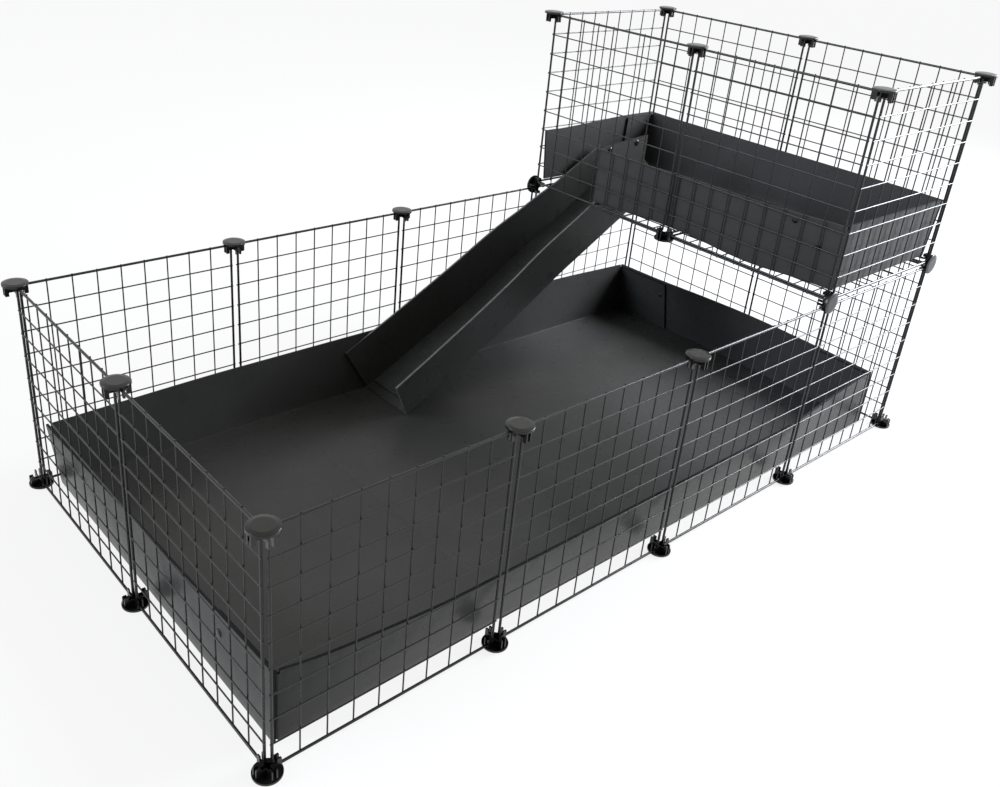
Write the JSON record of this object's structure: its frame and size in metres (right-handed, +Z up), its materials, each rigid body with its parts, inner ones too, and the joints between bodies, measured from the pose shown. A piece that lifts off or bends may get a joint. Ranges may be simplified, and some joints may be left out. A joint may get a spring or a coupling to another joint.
{
  "type": "modular pet cage",
  "caption": "Long open-topped wire cage of square panels clipped together at round joints, with folded sheet trays and a ramp up to a raised loft.",
  "frame": {"origin": "on the floor, in the middle of the cage's footprint", "axes": "+X along the length towards the loft's end, +Y from the front to the back beside which the ramp runs, +Z up"},
  "size_m": [1.4728, 0.7554, 0.7181],
  "materials": {
    "wire": "black powder coat, satin",
    "joint": "gloss black moulded plastic",
    "sheet": "black corrugated plastic with a soft sheen",
    "mat": "mottled dark grip mat with fine cross ribs",
    "rivet": "black moulded plastic"
  },
  "bodies": {
    "cage": {"front_panel_1": "wire", "front_panel_2": "wire", "front_panel_3": "wire", "front_panel_4": "wire", "back_panel_1": "wire", "back_panel_2": "wire", "back_panel_3": "wire", "back_panel_4": "wire", "left_panel_1": "wire", "right_panel_1": "wire", "loft_inner_panel_1": "wire", "loft_right_panel_1": "wire", "loft_floor_panel_1": "wire", "left_panel_2": "wire", "right_panel_2": "wire", "loft_inner_panel_2": "wire", "loft_right_panel_2": "wire", "loft_floor_panel_2": "wire", "loft_front_panel": "wire", "loft_back_panel": "wire", "foot_front_1": "joint", "foot_front_2": "joint", "foot_front_3": "joint", "foot_front_4": "joint", "foot_front_5": "joint", "foot_back_1": "joint", "foot_back_2": "joint", "foot_back_3": "joint", "foot_back_4": "joint", "foot_back_5": "joint", "foot_left": "joint", "foot_right": "joint", "rim_front_1": "joint", "rim_front_2": "joint", "rim_front_3": "joint", "rim_back_1": "joint", "rim_back_2": "joint", "rim_back_3": "joint", "rim_left": "joint", "loft_joint_front_inner": "joint", "loft_joint_middle_inner": "joint", "loft_joint_back_inner": "joint", "loft_cap_front_inner": "joint", "loft_cap_middle_inner": "joint", "loft_cap_back_inner": "joint", "loft_joint_front_right": "joint", "loft_joint_middle_right": "joint", "loft_joint_back_right": "joint", "loft_cap_front_right": "joint", "loft_cap_middle_right": "joint", "loft_cap_back_right": "joint", "base_tray": "sheet", "base_tray_rivets": "rivet"},
    "loft_tray": {"loft_tray": "sheet", "loft_tray_rivets": "rivet"},
    "ramp": {"ramp": "sheet", "ramp_mat": "mat"}
  },
  "joints": [
    {"name": "loft_tray_lift", "type": "slide", "parent": "cage", "child": "loft_tray", "axis": [0, 0, 1], "range_m": [0, 0.2]},
    {"name": "ramp_slide", "type": "slide", "parent": "cage", "child": "ramp", "axis": [0.8739, 0, 0.4861], "range_m": [0, 0.12]}
  ]
}
